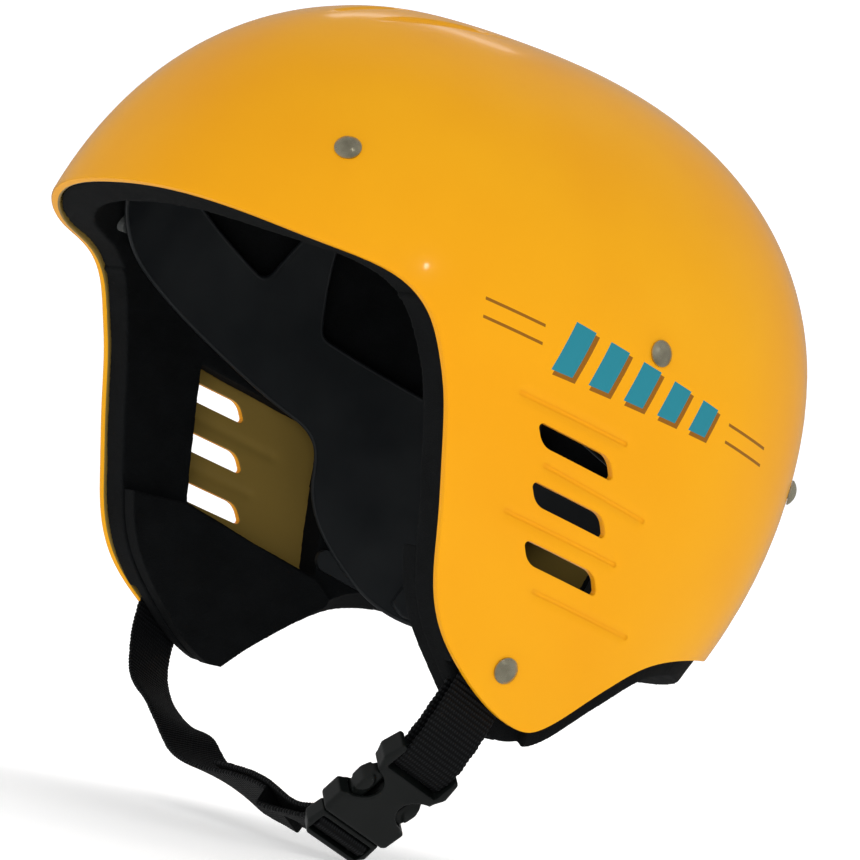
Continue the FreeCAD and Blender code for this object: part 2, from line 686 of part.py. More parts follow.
def main():
    """Build every node and write it to its own file."""
    holes = rivet_holes(SEATS)
    foam_edge = below(FOAM_EDGE)
    shell_inner = dome(SHELL_THICKNESS)
    foam_inner = dome(FOAM_INNER)
    nodes = {"outer_shell": outer_shell(dome(0.0), shell_inner, below(RIM_EDGE), holes)}
    nodes.update(foam_panels(dome(FOAM_OUTER).cut(foam_inner).cut(foam_edge), holes))
    ear_layer = dome(FOAM_INNER + 0.1).cut(dome(EAR_PAD_INNER))
    nodes["ear_pad_left"] = ear_pad(ear_layer, 1)
    nodes["ear_pad_right"] = ear_pad(ear_layer, -1)
    cradle_layer = dome(CRADLE_OUTER).cut(dome(CRADLE_INNER))
    cradle = head_cradle(cradle_layer, rivet_holes(CRADLE_RIVETS))
    nodes["head_cradle"] = cradle.cut([*stud_ways(), *rear_vents(CRADLE_VENT)])
    nodes["rear_pad"] = nodes["rear_pad"].cut([*stud_ways(), *rear_vents(FOAM_VENT)])
    nodes["brow_tabs"] = group([brow_tab(1), brow_tab(-1)])
    nodes["nape_tabs"] = group([nape_tab(1), nape_tab(-1)])
    nodes["nape_strap"] = nape_strap()
    for name in SEATS:
        nodes[name + "_rivets"] = rivets(name)
        nodes[name + "_washers"] = washers(name)
    nodes["chin_strap_left"] = webbing(LEFT_ROUTE).cut(strap_eyes())
    nodes["chin_strap_right"] = webbing(RIGHT_ROUTE, right_twist).cut(strap_eyes())
    nodes["buckle_socket"] = buckle_socket()
    nodes["buckle_plug"] = buckle_plug()
    nodes["prong_front"] = buckle_prong(1)
    nodes["prong_rear"] = buckle_prong(-1)
    for name, shape in nodes.items():
        bounds = shape.BoundBox
        print(f"{name:18s} valid {shape.isValid()} solids {len(shape.Solids)} volume {shape.Volume:9.0f} "
              f"x {bounds.XMin:.1f} {bounds.XMax:.1f} y {bounds.YMin:.1f} {bounds.YMax:.1f} "
              f"z {bounds.ZMin:.1f} {bounds.ZMax:.1f}")
        shape.exportStep(os.path.join("parts", name + ".step"))


main()
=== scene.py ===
"""Looks of the water helmet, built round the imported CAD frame.

Metres. +Z is up, the face opening looks along -Y and the wearer's left is +X, as in the frame.
"""

import json
import math

import bmesh
import bpy
import numpy as np
from mathutils import Matrix, Vector


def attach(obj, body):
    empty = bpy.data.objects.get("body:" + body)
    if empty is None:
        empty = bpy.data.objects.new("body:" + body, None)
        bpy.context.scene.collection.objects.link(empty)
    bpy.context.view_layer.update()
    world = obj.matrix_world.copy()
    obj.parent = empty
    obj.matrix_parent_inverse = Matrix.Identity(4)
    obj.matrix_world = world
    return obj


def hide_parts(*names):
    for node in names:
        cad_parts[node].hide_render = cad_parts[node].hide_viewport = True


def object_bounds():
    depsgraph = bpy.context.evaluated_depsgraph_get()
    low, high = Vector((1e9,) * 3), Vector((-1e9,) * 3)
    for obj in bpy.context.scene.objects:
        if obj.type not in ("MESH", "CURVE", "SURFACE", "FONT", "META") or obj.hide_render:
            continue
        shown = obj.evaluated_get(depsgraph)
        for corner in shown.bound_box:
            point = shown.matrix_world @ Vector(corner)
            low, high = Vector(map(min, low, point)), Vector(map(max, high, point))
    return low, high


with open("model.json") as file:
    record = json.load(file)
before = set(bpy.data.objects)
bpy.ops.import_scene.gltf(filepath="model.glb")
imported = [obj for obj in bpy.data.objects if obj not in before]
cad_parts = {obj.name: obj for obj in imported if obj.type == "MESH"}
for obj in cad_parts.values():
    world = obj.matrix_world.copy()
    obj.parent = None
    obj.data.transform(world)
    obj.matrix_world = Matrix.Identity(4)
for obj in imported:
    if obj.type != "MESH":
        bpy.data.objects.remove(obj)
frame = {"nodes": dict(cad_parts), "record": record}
cad_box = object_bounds()
NODES = frame["nodes"]
BODY_OF = {node: body for body, nodes in frame["record"]["behaviour"]["bodies"].items() for node in nodes}
MM = 0.001

# Moulded surface, in millimetres: reach, height of the widest point, roundness above it, taper below it
SIDE_SWEEP = (105.0, 36.5, 1.91, 0.10)
FRONT_SWEEP = (127.0, -35.6, 2.67, 0.0)
REAR_SWEEP = (129.0, 30.9, 2.47, 0.35)
CROWN_HEIGHT = 141.0
FRONT_SQUARENESS = 2.30
REAR_SQUARENESS = 2.34
SHELL_DEPTHS = (0.0, 3.0)
CRADLE_DEPTHS = (16.5, 18.0)
LAYER_TOLERANCE = 0.15

# Rounded bead on the cradle's cut edges: smallest opening that has one, radius, lift off the skin, spacing
BEAD_SMALLEST = 12.0
BEAD_RADIUS = 0.85
BEAD_LIFT = 0.75
BEAD_STEP = 1.2

# Lower edge of the side foam, as (y, z), and how far its inner side rises above its outer side
LOWER_EDGE = [(2, -70), (9, -71), (18, -67.5), (28, -59.5), (39, -51.5), (50, -44.5), (60, -41.5), (66, -41)]
LOWER_EDGE_RISE = 6.5

# Blunt lowest end of an ear pad: how much fuller it hangs, over what spread, and how far below its old tip
EAR_TIP_DROP = 1.1
EAR_TIP_SPREAD = 8.0
EAR_TIP_FLOOR = 0.15

# Chin strap: a plane through both strap rivets, leaning forward, with places given as (sideways, down)
STRAP_RIVET = (-6.8, -50.0)
STRAP_LEAN = math.radians(20.0)
WEBBING_WIDTH = 19.0
WEBBING_THICKNESS = 1.35
LEFT_ROUTE = [
    (93.4, -9), (92.0, 0), (90.9, 9), (90.4, 18), (89.4, 25), (88.2, 30.1), (86.7, 33.2), (84.4, 35.8),
    (82.6, 36.8), (81.2, 36.5), (80.6, 35.2), (81.3, 32.8), (82.9, 30.2), (84.3, 26), (85.6, 20), (86.8, 13),
    (87.4, 6),
]
RIGHT_ROUTE = [
    (-93.4, -9), (-92.4, 0), (-91.6, 9), (-85.8, 21), (-73, 33.2), (-54, 40.6), (-39, 45.0), (-27, 50.2),
    (-12, 54.2), (4, 56.4), (24, 57.8), (40, 59.8), (50, 60.6), (54, 60.7), (56.7, 60.3), (58.3, 59.5),
    (60.1, 59.5), (62.4, 61.0), (64.2, 61.8), (65.5, 61.2), (65.9, 59.8), (64.7, 58.0), (63.0, 57.1),
    (60.6, 56.7), (57.6, 57.0), (50, 57.9), (40, 57.6), (24, 55.6), (8, 54.4), (-1, 53.3),
]
# Turn of the right half about its own length, in degrees, at sideways places, and how far it is evened out
RIGHT_TURNS = [(-92, 0), (-87, -11), (-73, 0), (-54, 0), (-39, 23), (-27, 24), (-12, 12), (-4, 3), (4, -7),
               (14, -15), (32, -17), (42, -9), (49.5, 0)]
TURN_SPREAD = 6.0

# Camera
CAMERA_PLACE = (0.9108, -0.6085, -0.0453)
CAMERA_AZIMUTH = 55.5804
CAMERA_ELEVATION = -3.2463
CAMERA_ROLL = 13.0304
CAMERA_LENS = 148.25


# Surface of the mould


def reach(sweep, depth, z):
    """Distance from the middle plane to the surface at heights z, at a depth below the outer surface."""
    full, widest, roundness, taper = sweep
    rise = np.clip((z - widest) / (CROWN_HEIGHT - depth - widest), 0.0, 1.0)
    above = (full - depth) * (1.0 - rise**roundness) ** (1.0 / roundness)
    below = (full - depth) * (1.0 - taper * ((widest - z) / 100.0) ** 2)
    return np.maximum(np.where(z > widest, above, below), 1e-3)


def level(points, depth):
    """Zero on the surface at a depth, negative inside it. Points are in millimetres."""
    x, y, z = points.T
    front = y < 0
    power = np.where(front, FRONT_SQUARENESS, REAR_SQUARENESS)
    ahead = np.where(front, reach(FRONT_SWEEP, depth, z), reach(REAR_SWEEP, depth, z))
    return (np.abs(x) / reach(SIDE_SWEEP, depth, z)) ** power + (np.abs(y) / ahead) ** power - 1.0


def depth_of(points):
    """Depth of each point below the outer surface."""
    low, high = np.full(len(points), -4.0), np.full(len(points), 40.0)
    for _ in range(26):
        middle = (low + high) / 2.0
        inside = level(points, middle) < 0
        low, high = np.where(inside, middle, low), np.where(inside, high, middle)
    return (low + high) / 2.0


def outward(points, depth):
    """Unit normals of the surface at a depth."""
    slopes = np.empty_like(points)
    for axis in range(3):
        step = np.zeros(3)
        step[axis] = 0.02
        slopes[:, axis] = level(points + step, depth) - level(points - step, depth)
    length = np.linalg.norm(slopes, axis=1, keepdims=True)
    return slopes / np.maximum(length, 1e-12)


# Mesh helpers


def new_object(name, mesh):
    """Object in the scene for a mesh."""
    obj = bpy.data.objects.new(name, mesh)
    bpy.context.scene.collection.objects.link(obj)
    return obj


def points_of(mesh):
    """Vertex places in millimetres."""
    flat = np.empty(len(mesh.vertices) * 3)
    mesh.vertices.foreach_get("co", flat)
    return flat.reshape(-1, 3) / MM


def set_points(mesh, points):
    """Put vertices at places given in millimetres."""
    mesh.vertices.foreach_set("co", (points * MM).ravel())
    mesh.update()


def copy_of(node, name):
    """Loose copy of a CAD node with its coincident points welded."""
    mesh = NODES[node].data.copy()
    mesh.materials.clear()
    if "custom_normal" in mesh.attributes:
        mesh.attributes.remove(mesh.attributes["custom_normal"])
    work = bmesh.new()
    work.from_mesh(mesh)
    bmesh.ops.remove_doubles(work, verts=work.verts, dist=2e-6)
    bmesh.ops.dissolve_degenerate(work, edges=work.edges, dist=1e-7)
    work.to_mesh(mesh)
    work.free()
    return new_object(name, mesh)


def with_modifiers(obj, *modifiers):
    """Apply modifiers, given as (kind, settings), to an object's mesh."""
    for kind, settings in modifiers:
        modifier = obj.modifiers.new(kind.lower(), kind)
        for key, value in settings.items():
            setattr(modifier, key, value)
    depsgraph = bpy.context.evaluated_depsgraph_get()
    mesh = bpy.data.meshes.new_from_object(obj.evaluated_get(depsgraph))
    obj.modifiers.clear()
    old, obj.data = obj.data, mesh
    bpy.data.meshes.remove(old)
    return obj


def settle(obj, node, material):
    """A finished piece stands for a CAD node, moves with its body and takes its finish."""
    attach(obj, BODY_OF[node])
    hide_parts(node)
    obj.data.materials.clear()
    obj.data.materials.append(material)
    return obj


def smooth_skin(obj, depths, pressed=0.0):
    """Shade the moulded faces with the mould's own normals, pressed marks softly and the rest by angle."""
    mesh = obj.data
    mesh.shade_smooth()
    mesh.set_sharp_from_angle(angle=math.radians(28.0))
    points = points_of(mesh)
    depth = depth_of(points)
    normals = np.empty(len(mesh.loops) * 3)
    mesh.corner_normals.foreach_get("vector", normals)
    normals = normals.reshape(-1, 3).copy()
    corners = np.empty(len(mesh.loops), int)
    mesh.loops.foreach_get("vertex_index", corners)
    faces = np.empty(len(mesh.polygons) * 3)
    mesh.polygons.foreach_get("normal", faces)
    totals = np.empty(len(mesh.polygons), int)
    mesh.polygons.foreach_get("loop_total", totals)
    owner = np.repeat(np.arange(len(totals)), totals)
    face_normals = faces.reshape(-1, 3)[owner]
    for which, layer in enumerate(depths):
        mould = outward(points, layer) * (1.0 if which == 0 else -1.0)
        near = np.abs(depth - layer) < LAYER_TOLERANCE
        agreement = np.einsum("ij,ij->i", face_normals, mould[corners])
        if which == 0 and pressed > 0.0:
            sunk = (depth[corners] > -0.1) & (depth[corners] < pressed)
            whole = np.ones(len(totals), bool)
            np.logical_and.at(whole, owner, sunk)
            blend = face_normals * 0.35 + mould[corners]
            blend /= np.linalg.norm(blend, axis=1, keepdims=True)
            normals = np.where(whole[owner][:, None], blend, normals)
        flush = (agreement > 0.99) & near[corners]
        whole = np.ones(len(totals), bool)
        np.logical_and.at(whole, owner, flush)
        skin = np.zeros(len(points), bool)
        skin[corners[whole[owner]]] = True
        chosen = skin[corners] & (agreement > 0.9)
        normals[chosen] = mould[corners[chosen]]
    mesh.normals_split_custom_set(normals.tolist())


def edge_loops(mesh, layer):
    """Closed lines where the skin at a layer meets a cut wall, as lists of places in millimetres."""
    work = bmesh.new()
    work.from_mesh(mesh)
    points = points_of(mesh)
    depth = depth_of(points)
    mould = outward(points, layer)
    near = np.abs(depth - layer) < LAYER_TOLERANCE
    follows = {}
    for edge in work.edges:
        if len(edge.link_faces) != 2:
            continue
        ends = [vertex.index for vertex in edge.verts]
        if not near[ends].all():
            continue
        lean = [abs(face.normal.dot(Vector(mould[ends[0]]))) for face in edge.link_faces]
        if max(lean) > 0.97 and min(lean) < 0.85:
            follows.setdefault(ends[0], []).append(ends[1])
            follows.setdefault(ends[1], []).append(ends[0])
    work.free()
    follows = {index: ends for index, ends in follows.items() if len(ends) == 2}
    loops = []
    while follows:
        start = next(iter(follows))
        chain, here = [start], start
        ends = follows.pop(start)
        while True:
            onward = [index for index in ends if index in follows]
            if not onward:
                break
            here = onward[0]
            chain.append(here)
            ends = follows.pop(here)
        if start in ends:
            loops.append(points[chain])
    return loops


def resampled(line, step, closed=True):
    """Evenly spaced places along a line."""
    if closed:
        line = np.vstack([line, line[:1]])
    lengths = np.r_[0.0, np.cumsum(np.linalg.norm(np.diff(line, axis=0), axis=1))]
    count = max(int(lengths[-1] / step), 8)
    wanted = np.linspace(0.0, lengths[-1], count + 1)[: count if closed else None]
    return np.column_stack([np.interp(wanted, lengths, line[:, axis]) for axis in range(3)])


def bead(name, lines, radius):
    """Round bead along closed lines, as one mesh."""
    curve = bpy.data.curves.new(name, "CURVE")
    curve.dimensions = "3D"
    curve.bevel_depth = radius * MM
    curve.bevel_resolution = 3
    for line in lines:
        spline = curve.splines.new("POLY")
        spline.points.add(len(line) - 1)
        spline.points.foreach_set("co", np.column_stack([line * MM, np.ones(len(line))]).ravel())
        spline.use_cyclic_u = True
    holder = new_object(name + "_line", curve)
    mesh = bpy.data.meshes.new_from_object(holder.evaluated_get(bpy.context.evaluated_depsgraph_get()))
    bpy.data.objects.remove(holder)
    mesh.shade_smooth()
    return new_object(name, mesh)


# Materials


class Surface:
    """One procedural material and the shorthand to build its nodes."""

    def __init__(self, name, colour, roughness, **sockets):
        self.material = bpy.data.materials.new(name)
        self.material.use_nodes = True
        self.tree = self.material.node_tree
        self.shader = self.tree.nodes["Principled BSDF"]
        self.set("Base Color", (*colour, 1.0))
        self.set("Roughness", roughness)
        for socket, value in sockets.items():
            self.set(socket.replace("_", " "), value)
        self.place = self.tree.nodes.new("ShaderNodeTexCoord").outputs["Object"]

    def set(self, socket, value):
        self.shader.inputs[socket].default_value = value

    def feed(self, socket, source):
        self.tree.links.new(source, self.shader.inputs[socket])

    def node(self, kind, *sources, **settings):
        """New node with its inputs, in order, linked or set; None leaves one alone."""
        made = self.tree.nodes.new("ShaderNode" + kind)
        for key, value in settings.items():
            setattr(made, key, value)
        for index, source in enumerate(sources):
            if isinstance(source, bpy.types.NodeSocket):
                self.tree.links.new(source, made.inputs[index])
            elif source is not None:
                made.inputs[index].default_value = source
        return made

    def maths(self, operation, *sources):
        return self.node("Math", *sources, operation=operation).outputs[0]

    def axes(self, source=None):
        """X, Y and Z of a vector in millimetres."""
        scaled = self.node("VectorMath", source or self.place, (1.0 / MM,) * 3, operation="MULTIPLY")
        return self.node("SeparateXYZ", scaled.outputs[0]).outputs

    def noise(self, scale, detail=3.0, stretch=(1.0, 1.0, 1.0), source=None):
        """Noise whose scale is in features per metre."""
        mapped = self.node("Mapping", source or self.place, None, None, stretch).outputs[0]
        made = self.node("TexNoise", mapped, noise_dimensions="3D")
        made.inputs["Scale"].default_value = scale
        made.inputs["Detail"].default_value = detail
        return made.outputs["Fac"]

    def cells(self, scale, source=None):
        """Distance to the nearest of scattered points, in features per metre."""
        made = self.node("TexVoronoi", source or self.place)
        made.inputs["Scale"].default_value = scale
        return made.outputs["Distance"]

    def span(self, source, low, high, new_low=0.0, new_high=1.0):
        """Map a range onto another, clamped."""
        return self.node("MapRange", source, low, high, new_low, new_high).outputs[0]

    def mix(self, share, first, second):
        """Blend of two colours."""
        made = self.tree.nodes.new("ShaderNodeMix")
        made.data_type = "RGBA"
        for index, source in ((0, share), (6, first), (7, second)):
            if isinstance(source, bpy.types.NodeSocket):
                self.tree.links.new(source, made.inputs[index])
            else:
                made.inputs[index].default_value = source if index == 0 else (*source, 1.0)
        return made.outputs[2]

    def bump(self, *layers):
        """Stack of bumps, each (height source, height in millimetres)."""
        normal = None
        for source, height in layers:
            made = self.tree.nodes.new("ShaderNodeBump")
            made.inputs["Strength"].default_value = 1.0
            made.inputs["Distance"].default_value = height * MM
            self.tree.links.new(source, made.inputs["Height"])
            if normal is not None:
                self.tree.links.new(normal, made.inputs["Normal"])
            normal = made.outputs[0]
        self.feed("Normal", normal)


YELLOW = (0.92, 0.42, 0.010)
DEEP_YELLOW = (0.88, 0.37, 0.008)
# The olive colour is painted shade for the shadowed inside of the shell, lifted a little as a painted glow
# of light shining through it
INNER_SHADE_OLIVE = (0.25, 0.168, 0.040)
TEAL = (0.026, 0.235, 0.30)
BROWN = (0.30, 0.115, 0.012)

# Pressed grooves beside the vent slots, as start and end (y, z)
GROOVES = [((-28.4, 27.3), (12.2, 20.9)), ((-15, 9.2), (26, 0.8)),
           ((-23.7, -5.9), (20.1, -13.4)), ((-6.7, -26.2), (33.5, -33))]

# Printed marks on each side: a row of leaning bars with a thin shadow, between pairs of plain lines.
# They lie further than MARK_SIDE from the middle plane.
MARK_START = (-20.0, 44.0)
MARK_SLOPE = -0.16
MARK_PITCH = 13.2
MARK_END = 66.0
MARK_BAR = (3.7, 8.2)
MARK_LEAN = 0.36
MARK_TAPER = 0.055
MARK_SHADOW = 1.0
LINE_SPANS = ((-24.0, -4.5), (71.0, 92.0))
LINE_GAP = 2.6
LINE_WIDTH = 0.45
MARK_SIDE = 86.0

# Faces whose normal times their place is below this look inward: they are the shell's inner skin, which gets
# painted shade
INWARD = -0.05


def bar_mask(surface, along, across, grow, shift):
    """Mask of the leaning bars, grown and shifted down for their shadow."""
    across = surface.maths("ADD", across, shift)
    lean = surface.maths("MULTIPLY", across, MARK_LEAN)
    slanted = surface.maths("SUBTRACT", surface.maths("SUBTRACT", along, shift), lean)
    cell = surface.maths("FLOORED_MODULO", slanted, MARK_PITCH)
    off = surface.maths("ABSOLUTE", surface.maths("SUBTRACT", cell, MARK_PITCH / 2.0))
    side = surface.maths("LESS_THAN", off, MARK_BAR[0] + grow)
    shrink = surface.maths("MULTIPLY", along, MARK_TAPER)
    height = surface.maths("SUBTRACT", MARK_BAR[1] + grow, shrink)
    tall = surface.maths("LESS_THAN", surface.maths("ABSOLUTE", across), height)
    first = surface.maths("GREATER_THAN", slanted, 0.0)
    last = surface.maths("LESS_THAN", slanted, MARK_END)
    ends = surface.maths("MULTIPLY", first, last)
    return surface.maths("MULTIPLY", surface.maths("MULTIPLY", side, tall), ends)


def line_mask(surface, along, across):
    """Mask of the plain line pairs before and after the bars."""
    off = surface.maths("ABSOLUTE", surface.maths("SUBTRACT", surface.maths("ABSOLUTE", across), LINE_GAP))
    thin = surface.maths("LESS_THAN", off, LINE_WIDTH)
    total = None
    for low, high in LINE_SPANS:
        part = surface.maths("MULTIPLY", surface.maths("GREATER_THAN", along, low),
                             surface.maths("LESS_THAN", along, high))
        total = part if total is None else surface.maths("ADD", total, part)
    return surface.maths("MULTIPLY", thin, total)


def shell_plastic():
    """Glossy moulded plastic with printed marks, faint orange peel, hairline scratches and painted shade on
    its inner skin.
    """
    surface = Surface("shell_plastic", YELLOW, 0.2, Coat_Weight=0.1, Coat_Roughness=0.05,
                      Specular_IOR_Level=0.07)
    x, y, z = surface.axes()
    cloud = surface.span(surface.noise(14.0, 2.0), 0.3, 0.7)
    colour = surface.mix(cloud, YELLOW, DEEP_YELLOW)
    along = surface.maths("SUBTRACT", y, MARK_START[0])
    drop = surface.maths("MULTIPLY", along, MARK_SLOPE)
    across = surface.maths("SUBTRACT", surface.maths("SUBTRACT", z, MARK_START[1]), drop)
    outer = surface.maths("GREATER_THAN", surface.maths("ABSOLUTE", x), MARK_SIDE)
    shadow = surface.maths("MULTIPLY", bar_mask(surface, along, across, 0.3, MARK_SHADOW), outer)
    lines = surface.maths("MULTIPLY", line_mask(surface, along, across), outer)
    bars = surface.maths("MULTIPLY", bar_mask(surface, along, across, 0.0, 0.0), outer)
    colour = surface.mix(surface.maths("MAXIMUM", shadow, lines), colour, BROWN)
    colour = surface.mix(bars, colour, TEAL)
    geometry = surface.tree.nodes.new("ShaderNodeNewGeometry")
    facing = surface.node("VectorMath", geometry.outputs["Normal"], surface.place, operation="DOT_PRODUCT")
    # Inner skin faces get the olive colour: painted shade for the shadowed inside, with a little painted
    # glow of light through the shell
    inside = surface.maths("LESS_THAN", facing.outputs["Value"], INWARD)
    surface.feed("Base Color", surface.mix(inside, colour, INNER_SHADE_OLIVE))
    scratches = surface.span(surface.noise(260.0, 1.0, (1.0, 0.05, 1.0)), 0.62, 0.72, 0.0, 0.05)
    smudge = surface.span(surface.noise(38.0, 4.0), 0.3, 0.8, 0.15, 0.24)
    surface.feed("Roughness", surface.maths("ADD", smudge, scratches))
    trough = None
    for (y0, z0), (y1, z1) in GROOVES:
        length = math.hypot(y1 - y0, z1 - z0)
        ahead, up = (y1 - y0) / length, (z1 - z0) / length
        from_y, from_z = surface.maths("SUBTRACT", y, y0), surface.maths("SUBTRACT", z, z0)
        off = surface.maths("SUBTRACT", surface.maths("MULTIPLY", from_z, ahead),
                            surface.maths("MULTIPLY", from_y, up))
        run = surface.maths("ADD", surface.maths("MULTIPLY", from_y, ahead),
                            surface.maths("MULTIPLY", from_z, up))
        from_middle = surface.maths("ABSOLUTE", surface.maths("SUBTRACT", run, length / 2.0))
        beyond = surface.maths("SUBTRACT", from_middle, length / 2.0 - 3.0)
        ends = surface.maths("MULTIPLY", surface.maths("MAXIMUM", beyond, 0.0), 0.7)
        squared = surface.maths("ADD", surface.maths("MULTIPLY", off, off),
                                surface.maths("MULTIPLY", ends, ends))
        fade = surface.maths("EXPONENT", surface.maths("MULTIPLY", squared, -0.28))
        dip = surface.maths("MULTIPLY", fade, outer)
        trough = dip if trough is None else surface.maths("MAXIMUM", trough, dip)
    surface.bump((trough, -0.55), (surface.noise(420.0, 1.0), 0.004), (surface.noise(90.0, 1.0), 0.015))
    return surface.material


def foam():
    """Cut closed-cell foam."""
    surface = Surface("foam", (0.003, 0.0033, 0.0036), 0.9, Sheen_Weight=0.012, Sheen_Roughness=0.5,
                      Specular_IOR_Level=0.05)
    patches = surface.span(surface.noise(120.0, 3.0), 0.3, 0.7)
    pores = surface.span(surface.cells(2600.0), 0.15, 0.6)
    colour = surface.mix(patches, (0.0022, 0.0026, 0.0028), (0.0048, 0.0055, 0.006))
    colour = surface.mix(surface.maths("MULTIPLY", pores, 0.45), colour, (0.009, 0.0098, 0.0105))
    surface.feed("Base Color", colour)
    surface.feed("Roughness", surface.span(patches, 0.0, 1.0, 0.78, 0.95))
    surface.bump((surface.cells(2600.0), 0.10), (surface.noise(600.0, 3.0), 0.12),
                 (surface.noise(90.0, 2.0), 0.25))
    return surface.material


def satin_plastic(name, colour, light, roughness, grain=0.012):
    """Smooth moulded plastic with a fine texture and slightly rubbed patches."""
    surface = Surface(name, colour, roughness, Specular_IOR_Level=0.3)
    patches = surface.span(surface.noise(55.0, 4.0), 0.35, 0.75)
    surface.feed("Base Color", surface.mix(patches, colour, light))
    surface.feed("Roughness", surface.span(patches, 0.0, 1.0, roughness - 0.04, roughness + 0.09))
    surface.bump((surface.noise(1800.0, 2.0), grain), (surface.noise(160.0, 2.0), grain * 2.5))
    return surface.material


def rivet_metal():
    """Nickel-plated steel, dulled and lightly scuffed."""
    surface = Surface("rivet_metal", (0.5, 0.47, 0.36), 0.3, Metallic=1.0)
    scuffs = surface.span(surface.noise(700.0, 5.0, (1.0, 0.35, 1.0)), 0.45, 0.7)
    stain = surface.span(surface.noise(180.0, 3.0), 0.4, 0.75)
    colour = surface.mix(stain, (0.62, 0.58, 0.43), (0.34, 0.31, 0.22))
    surface.feed("Base Color", colour)
    surface.feed("Roughness", surface.span(scuffs, 0.0, 1.0, 0.24, 0.5))
    surface.bump((scuffs, 0.012), (surface.noise(400.0, 2.0), 0.03))
    return surface.material


def webbing_fabric():
    """Ribbed black webbing: each rib is a row of plump yarns, with painted sheen on their crests and painted
    shade between them.
    """
    surface = Surface("webbing", (0.012, 0.013, 0.015), 0.62, Sheen_Weight=0.02, Sheen_Roughness=0.35,
                      Specular_IOR_Level=0.18)
    flat = surface.node("UVMap", uv_map="weave").outputs[0]
    across, along, _ = surface.axes(flat)
    rows = surface.maths("SINE", surface.maths("MULTIPLY", along, math.pi / RIB_PITCH))
    offset = surface.maths("MULTIPLY", surface.maths("SIGN", rows), YARN_WIDTH / 4.0)
    shifted = surface.maths("ADD", across, offset)
    yarns = surface.maths("SINE", surface.maths("MULTIPLY", shifted, math.tau / YARN_WIDTH))
    plump = surface.span(yarns, -1.0, 1.0, 0.35, 1.0)
    rise = surface.maths("MULTIPLY", surface.maths("ABSOLUTE", rows), plump)
    fuzz = surface.noise(900.0, 4.0)
    # Painted sheen and shade: rib crests get a lighter colour and the grooves between them a near-black one,
    # as light would fall on them
    colour = surface.mix(surface.span(rise, 0.45, 0.98), (0.0012, 0.0014, 0.0017), (0.011, 0.0125, 0.014))
    colour = surface.mix(surface.span(fuzz, 0.4, 0.8, 0.0, 0.25), colour, (0.006, 0.0066, 0.0074))
    surface.feed("Base Color", colour)
    surface.feed("Roughness", surface.span(fuzz, 0.2, 0.8, 0.5, 0.75))
    surface.bump((rise, 0.16), (fuzz, 0.05))
    return surface.material


# Foam pads

# Glued seams between panels, as (axis, place, shift that closes the seam)
SEAMS = ((1, -60.0, 0.7), (1, -59.5, -0.7), (1, 64.0, -0.7), (1, 63.5, 0.7), (2, 97.5, 0.6), (2, 98.0, -0.6))


def foam_pad(node, name, passes):
    """Foam pad: the CAD block with softened cut edges and a lower edge that slopes up inside."""
    pad = copy_of(node, name)
    points = points_of(pad.data)
    for axis, place, shift in SEAMS:
        near = np.abs(points[:, axis] - place) < 0.05
        points[near, axis] += shift
    set_points(pad.data, points)
    with_modifiers(pad, ("REMESH", {"mode": "SHARP", "octree_depth": 8, "scale": 0.95, "sharpness": 1.0,
                                    "use_remove_disconnected": False}),
                   ("SMOOTH", {"factor": 0.5, "iterations": passes}))
    points = points_of(pad.data)
    if node.startswith("side_pad"):
        y, z = points[:, 1], points[:, 2]
        low = np.interp(y, [line[0] for line in LOWER_EDGE], [line[1] for line in LOWER_EDGE])
        inward = np.clip((depth_of(points) - 5.0) / 8.0, 0.0, 1.0)
        near = np.clip(1.0 - (z - low) / 16.0, 0.0, 1.0)
        points[:, 2] += LOWER_EDGE_RISE * inward * near * np.clip((y - 2.0) / 16.0, 0.0, 1.0)
    if node.startswith("ear_pad"):
        tip = points[points[:, 2].argmin()].copy()
        off = points[:, 1] - tip[1]
        low = np.clip(1.0 - (points[:, 2] - tip[2]) / 25.0, 0.0, 1.0)
        points[:, 2] -= EAR_TIP_DROP * low * np.exp(-(off / EAR_TIP_SPREAD) ** 2)
        points[:, 2] = np.maximum(points[:, 2], tip[2] - EAR_TIP_FLOOR)
    x, y, z = points.T
    waver = np.sin(y * 0.31 + z * 0.23) * np.sin(z * 0.17 - x * 0.29)
    points += (waver * 0.08)[:, None]
    set_points(pad.data, points)
    pad.data.shade_smooth()
    settle(pad, node, FOAM)
    return pad


# Webbing

YARN_WIDTH = 0.9
RIB_PITCH = 1.5
SECTION_STEP = 0.25
EDGE_ROUND = 0.55


def on_strap(place):
    """Point in the frame, in millimetres, from a place in the strap plane."""
    sideways, down = place
    y, z = STRAP_RIVET
    return np.array([sideways, y - down * math.sin(STRAP_LEAN), z - down * math.cos(STRAP_LEAN)])


def smooth_line(controls, step):
    """Evenly spaced places on a smooth curve through its controls."""
    points = np.array(controls, float)
    knots = np.r_[0.0, np.cumsum(np.linalg.norm(np.diff(points, axis=0), axis=1) ** 0.5)]
    slopes = np.gradient(points, knots, axis=0)
    dense = []
    for index in range(len(points) - 1):
        width = knots[index + 1] - knots[index]
        t = np.linspace(0.0, 1.0, 40, endpoint=False)[:, None]
        leaving = (2 * t**3 - 3 * t**2 + 1) * points[index] + (t**3 - 2 * t**2 + t) * width * slopes[index]
        arriving = (3 * t**2 - 2 * t**3) * points[index + 1] + (t**3 - t**2) * width * slopes[index + 1]
        dense.append(leaving + arriving)
    dense.append(points[-1:])
    return resampled(np.vstack(dense), step, closed=False)


def profile():
    """Webbing cross-section as (across, through) pairs round a flat oval."""
    half, thick = WEBBING_WIDTH / 2.0, WEBBING_THICKNESS / 2.0
    top = [(share * (half - EDGE_ROUND), thick) for share in np.linspace(-1.0, 1.0, 11)]
    right = [(half - EDGE_ROUND + EDGE_ROUND * math.cos(angle), thick * math.sin(angle))
             for angle in np.linspace(math.pi / 2, -math.pi / 2, 7)[1:-1]]
    ring = top + right
    return np.array(ring + [(-across, -through) for across, through in ring])


